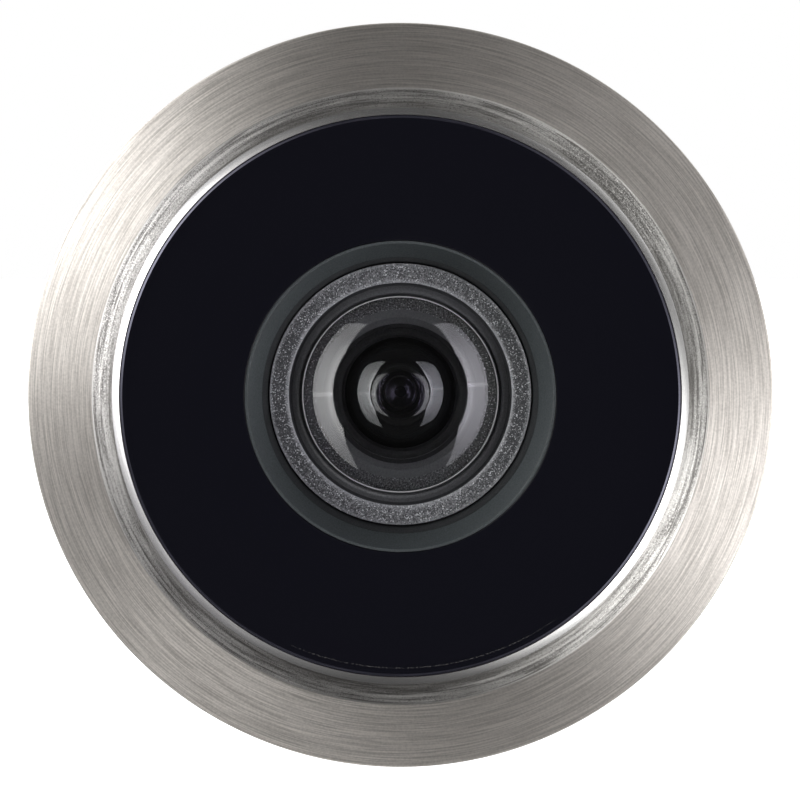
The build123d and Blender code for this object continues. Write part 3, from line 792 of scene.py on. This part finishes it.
thread_pitch, thread_start, turns, steps_a_turn = 1.0, 17.35, 25, 72
root, crest, half_root, half_crest = 6.58, 7.03, 0.36, 0.09
thread = bmesh.new()
profile = [
    thread.verts.new((radius / 1000, (thread_start + y) / 1000, 0))
    for radius, y in ((root, -half_root), (crest, -half_crest), (crest, half_crest), (root, half_root))
]
loop = [thread.edges.new((start, end)) for start, end in zip(profile, profile[1:] + profile[:1])]
thread.faces.new(profile)
swept = bmesh.ops.spin(
    thread, geom=profile + loop, cent=(0, 0, 0), axis=(0, 1, 0),
    dvec=(0, thread_pitch / 1000 / steps_a_turn, 0),
    angle=turns * 2 * math.pi, steps=turns * steps_a_turn,
)
end_edges = [item for item in swept["geom_last"] if isinstance(item, bmesh.types.BMEdge)]
bmesh.ops.contextual_create(thread, geom=end_edges)
bmesh.ops.recalc_face_normals(thread, faces=thread.faces)
show("inner_barrel_thread", thread, [turned_nickel], "inner_barrel", "nickel_plated_brass", "inner_barrel")


# Eyepiece ring: a black anodised ring pressed in behind the eyepiece. It holds the lens, and its
# shallow funnel leads to the eye.

ring_bore, ring_front, ring_back, funnel_throat, funnel_end = 5.53, 46.32, 47.5, 5.3, 47.2
eyepiece_ring = bmesh.new()
outline(
    eyepiece_ring,
    (ring_bore, ring_front, 0.02), (eyepiece_radius, ring_front, 0.02),
    (eyepiece_radius, ring_back, 0.06), (ring_bore, ring_back, 0.06), (funnel_throat, funnel_end, 0.04),
)
turn_round(eyepiece_ring, 192)
ring_black = satin_dark(
    "eyepiece_ring_black", (0.010, 0.010, 0.011), (0.030, 0.030, 0.033),
    roughness=0.38, grain=0.07, depth=0.0015, specular=0.4,
)
show("eyepiece_holding_ring", eyepiece_ring, [ring_black], "inner_barrel", "black_anodised", "eyepiece_ring")


# Privacy cover: a lid pressed from nickel plated sheet and brushed straight across, with an arm up
# to its pivot and a tab for the finger. A disc of black felt is glued inside it.

cover_nickel, tree, shader = start_finish("nickel_cover_brushed", Metallic=1.0, Anisotropic=0.8)
place_in_strokes = vector(tree, "MULTIPLY", place_on_piece(tree), (150, 9000, 9000))
strokes = noise(tree, place_in_strokes, 1.0, 3.0, 0.6)
paint(tree, shader, spread(tree, strokes, 0.34, 0.66, 0, 1), (0.50, 0.475, 0.445), (0.86, 0.825, 0.785))
link(tree, spread(tree, strokes, 0.34, 0.66, 0.46, 0.38), shader, "Roughness")
raise_surface(tree, shader, strokes, 0.0012)
link(tree, as_the_piece_turns(tree, (0, 0, 1)), shader, "Tangent")
refinish("privacy_cover", cover_nickel)

felt, tree, shader = start_finish("felt_black", Roughness=0.95, Specular_IOR_Level=0.1)
fibres = noise(tree, place_on_piece(tree), 5000.0, 5.0, distortion=2.0)
paint(tree, shader, spread(tree, fibres, 0.35, 0.65, 0, 1), (0.008, 0.008, 0.009), (0.05, 0.05, 0.054))
raise_surface(tree, shader, fibres, 0.06)
pad_radius, pad_front, pad_back = 6.5, 48.35, 48.74
pad = bmesh.new()
outline(
    pad,
    (0, pad_front), (pad_radius, pad_front, 0.1), (pad_radius, pad_back, 0.02), (0, pad_back), closed=False,
)
turn_round(pad, 160)
show("cover_felt_pad", pad, [felt], "privacy_cover", "felt", "cover_pad")


# Floor, studio and camera: a pale floor and a dim room with a white back. Two tall curved panels
# near the camera make the crescents in the lenses, two wide soft ones beside the object light the
# brushed metal, and two small ones below brighten its lower left.

floor_reach, floor_front, floor_level = 3.0, -0.008, -0.03
floor_shape = bmesh.new()
bmesh.ops.create_grid(floor_shape, x_segments=1, y_segments=1, size=floor_reach)
bmesh.ops.translate(floor_shape, verts=floor_shape.verts, vec=(0, floor_reach + floor_front, floor_level))
floor_mesh = bpy.data.meshes.new("floor")
floor_shape.to_mesh(floor_mesh)
floor = bpy.data.objects.new("floor", floor_mesh)
bpy.context.scene.collection.objects.link(floor)
pale, tree, shader = start_finish("floor_pale", Base_Color=(0.8, 0.8, 0.8, 1), Roughness=0.9)
rays = add(tree, "LightPath")
shader.inputs["Emission Color"].default_value = (1, 1, 1, 1)
link(tree, maths(tree, "MULTIPLY", rays.outputs["Is Camera Ray"], 0.75), shader, "Emission Strength")
floor_mesh.materials.append(pale)

world = bpy.data.worlds.new("studio")
bpy.context.scene.world = world
world.use_nodes = True
tree = world.node_tree
background = tree.nodes["Background"]
direction = add(tree, "TexCoord").outputs["Generated"]
sideways = vector(tree, "MULTIPLY", direction, (1, 0, 1))
sideways_length = vector(tree, "LENGTH", sideways, result="Value")
clock = vector(tree, "NORMALIZE", sideways)
forwards = maths(tree, "MULTIPLY", add(tree, "SeparateXYZ", {0: direction}).outputs["Y"], -1.0)
off_axis = maths(tree, "MULTIPLY", maths(tree, "ARCTAN2", sideways_length, forwards), 180 / math.pi)


def total(*values):
    running = values[0]
    for value in values[1:]:
        running = maths(tree, "ADD", running, value)
    return running


def times(*values):
    product = values[0]
    for value in values[1:]:
        product = maths(tree, "MULTIPLY", product, value)
    return product


def minus(first, second):
    return maths(tree, "SUBTRACT", first, second)


def band(start, full, fading, end):
    """1 between two angles off the axis, in degrees, falling off on both sides."""
    return times(spread(tree, off_axis, start, full, 0, 1), spread(tree, off_axis, fading, end, 1, 0))


def towards(angle):
    """Cosine between the ray's clock direction and this clock angle, counted from +X."""
    aim = (math.cos(math.radians(angle)), 0, math.sin(math.radians(angle)))
    return vector(tree, "DOT_PRODUCT", clock, aim, result="Value")


def lobe(angle, sharpness):
    """1 towards this clock angle, falling off to both sides."""
    return maths(tree, "EXPONENT", times(minus(towards(angle), 1.0), sharpness))


def crescent(angle, half_angle, strength):
    """Curved panel 33 to 49 degrees off the axis, narrowing to its tips, with a bright seam at its middle."""
    cosine = towards(angle)
    tip = math.cos(math.radians(half_angle))
    width = spread(tree, cosine, tip, tip + 0.70 * (1 - tip), 0, 1)
    height = add(tree, "SeparateXYZ", {0: clock}).outputs["Z"]
    place = total(off_axis, height)
    tip_place = total(times(height, -3.7), 40.2)
    inner = total(tip_place, times(width, minus(32.6, tip_place)))
    outer = total(tip_place, times(width, minus(49.5, tip_place)))
    inside = spread(tree, maths(tree, "MINIMUM", minus(place, inner), minus(outer, place)), 0.0, 0.7, 0, 1)
    brighter_middle = spread(tree, cosine, 0.7, 1.0, 0.5, 1.0)
    seam = spread(tree, towards(angle + 3), 0.9994, 0.9999, 1.0, 1.5)
    inner_edge = spread(tree, place, 33.2, 36.5, 1.75, 1.0)
    outwards_fading = spread(tree, place, 36.5, 49.0, 1.0, 0.65)
    return times(inside, brighter_middle, seam, inner_edge, outwards_fading, strength)


rays = add(tree, "LightPath")
seen = rays.outputs["Is Camera Ray"]
glossy = rays.outputs["Is Glossy Ray"]
through_glass = rays.outputs["Is Transmission Ray"]
not_through_glass = minus(1.0, through_glass)
not_mirrored = minus(1.0, rays.outputs["Is Singular Ray"])
blurred = times(glossy, not_mirrored, not_through_glass)

crescents = times(total(crescent(180, 64, 4.4), crescent(1, 63, 3.9)), minus(1.0, blurred))
side_lobes = total(times(lobe(153, 11), 6.2), times(lobe(-20, 10), 5.4), times(lobe(40, 10), 0.5))
side_panels = times(band(46, 56, 92, 104), side_lobes)
low_panel = times(lobe(240, 28), band(12, 16, 28, 34), 3.8)
lower_left_panel = times(lobe(222, 16), band(37, 43, 47, 51), 1.8)
low_panels = times(total(low_panel, lower_left_panel), not_mirrored)
soft_panels = times(total(side_panels, low_panels), not_through_glass)
room = spread(tree, off_axis, 30, 70, 0.03, 0.11)
in_metal_or_glass = maths(tree, "MAXIMUM", glossy, through_glass)
white_back = times(spread(tree, off_axis, 96, 116, 0, 1), spread(tree, in_metal_or_glass, 0, 1, 0.6, 0.9))
studio_light = total(crescents, soft_panels, room, white_back)
link(tree, spread(tree, seen, 0, 1, studio_light, 1.0), background, "Strength")

on_the_right = times(spread(tree, towards(0), 0.3, 0.7, 0, 1), spread(tree, off_axis, 50, 55, 1, 0))
violet_share = times(on_the_right, minus(1.0, seen))
link(tree, blend_colours(tree, violet_share, (1, 1, 1), (0.93, 0.91, 1.0)), background, "Color")

aim = (-0.000018, -0.0018, -0.000183)
distance, elevation, width_in_view = 0.2, math.radians(2), 0.03865
camera_data = bpy.data.cameras.new("camera")
camera_data.sensor_width = 36
camera_data.lens = camera_data.sensor_width * distance / width_in_view
camera_data.clip_start, camera_data.clip_end = 0.01, 20
camera = bpy.data.objects.new("camera", camera_data)
bpy.context.scene.collection.objects.link(camera)
camera.location = (aim[0], aim[1] - distance * math.cos(elevation), aim[2] + distance * math.sin(elevation))
camera.rotation_euler = (math.radians(90) - elevation, 0, 0)
bpy.context.scene.camera = camera
bpy.context.scene.view_settings.view_transform = "Standard"
